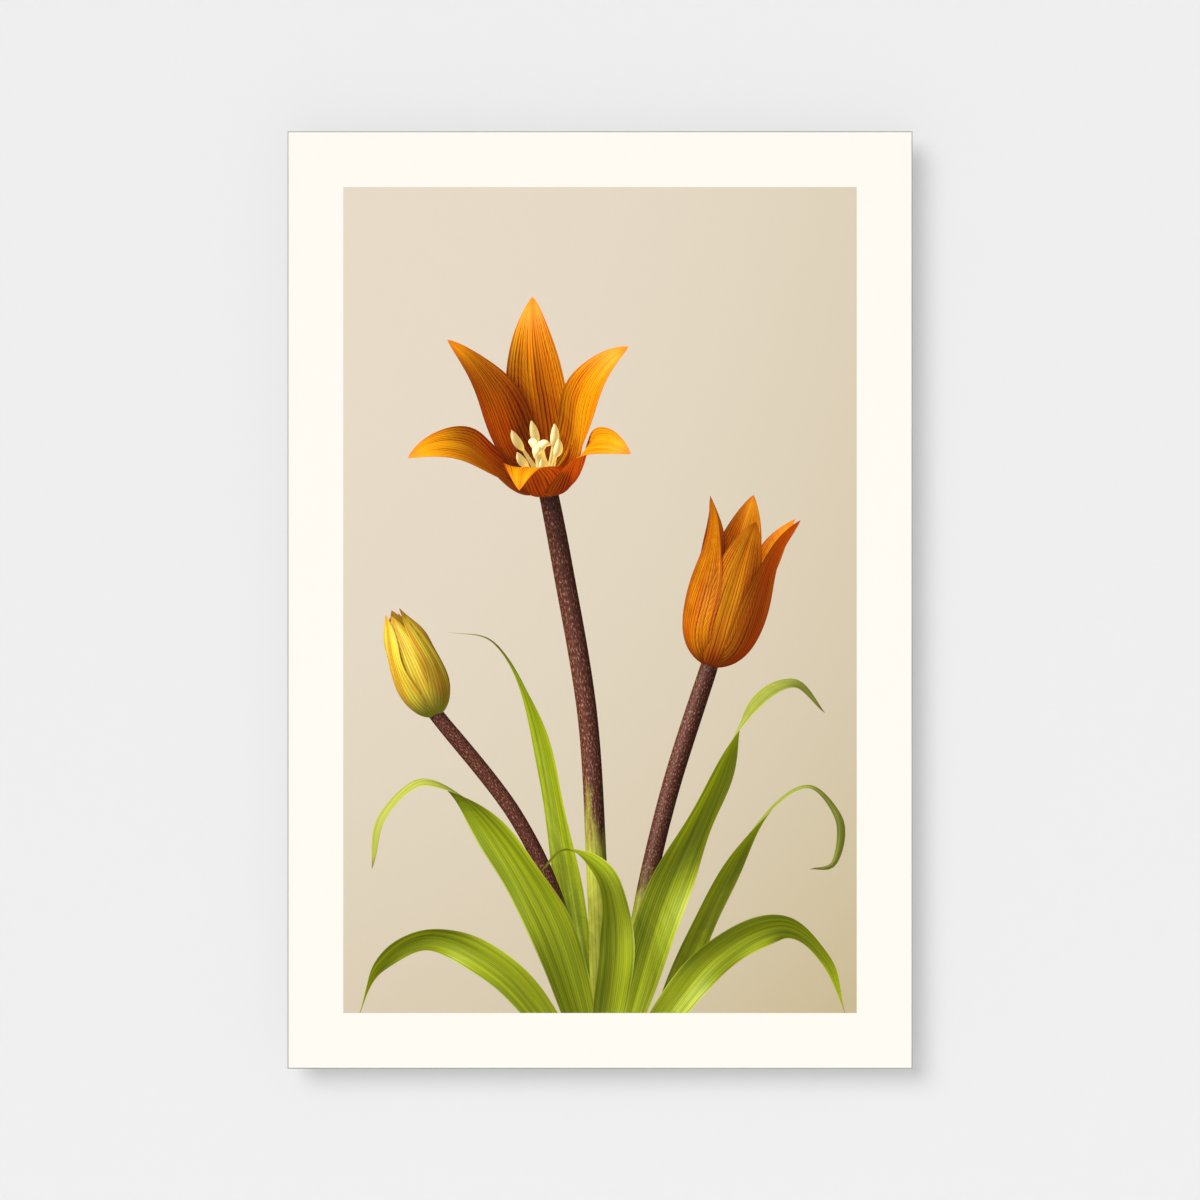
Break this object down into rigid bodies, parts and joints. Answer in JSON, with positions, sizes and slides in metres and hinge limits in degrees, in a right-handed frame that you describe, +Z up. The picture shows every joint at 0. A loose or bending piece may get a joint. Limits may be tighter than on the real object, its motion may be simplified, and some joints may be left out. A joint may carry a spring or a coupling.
{
  "type": "mounted art print",
  "caption": "Portrait art print on a thin rigid panel, with a recessed rear frame of channels that hangs it clear of a wall.",
  "frame": {"origin": "middle of the top rail's rear face, where the print hangs", "axes": "+Y out of the back, towards the wall; +Z up; +X to the right of someone looking at the picture"},
  "size_m": [0.4, 0.0216, 0.6],
  "materials": {
    "paper": "matt cotton-rag paper with a printed picture area",
    "film": "clear mounting film, hidden",
    "skin": "satin mill finish",
    "core": "black polyethylene with a routed edge",
    "tape": "dark grey foam tape",
    "rail": "fine brushed anodised extrusion",
    "key": "zinc plated die casting",
    "screw": "bright zinc plated",
    "bumper": "black rubber"
  },
  "bodies": {
    "root": {"print_sheet": "paper", "adhesive_film": "film", "panel_front_skin": "skin", "panel_core": "core", "panel_rear_skin": "skin", "tape_top": "tape", "tape_right": "tape", "tape_bottom": "tape", "tape_left": "tape", "rail_top": "rail", "rail_right": "rail", "rail_bottom": "rail", "rail_left": "rail", "corner_key_top_left": "key", "corner_key_top_right": "key", "corner_key_bottom_right": "key", "corner_key_bottom_left": "key", "key_screw_top_left_a": "screw", "key_screw_top_left_b": "screw", "key_screw_top_right_a": "screw", "key_screw_top_right_b": "screw", "key_screw_bottom_right_a": "screw", "key_screw_bottom_right_b": "screw", "key_screw_bottom_left_a": "screw", "key_screw_bottom_left_b": "screw", "bumper_upper_left": "bumper", "bumper_upper_right": "bumper", "bumper_lower_left": "bumper", "bumper_lower_right": "bumper"}
  },
  "joints": []
}
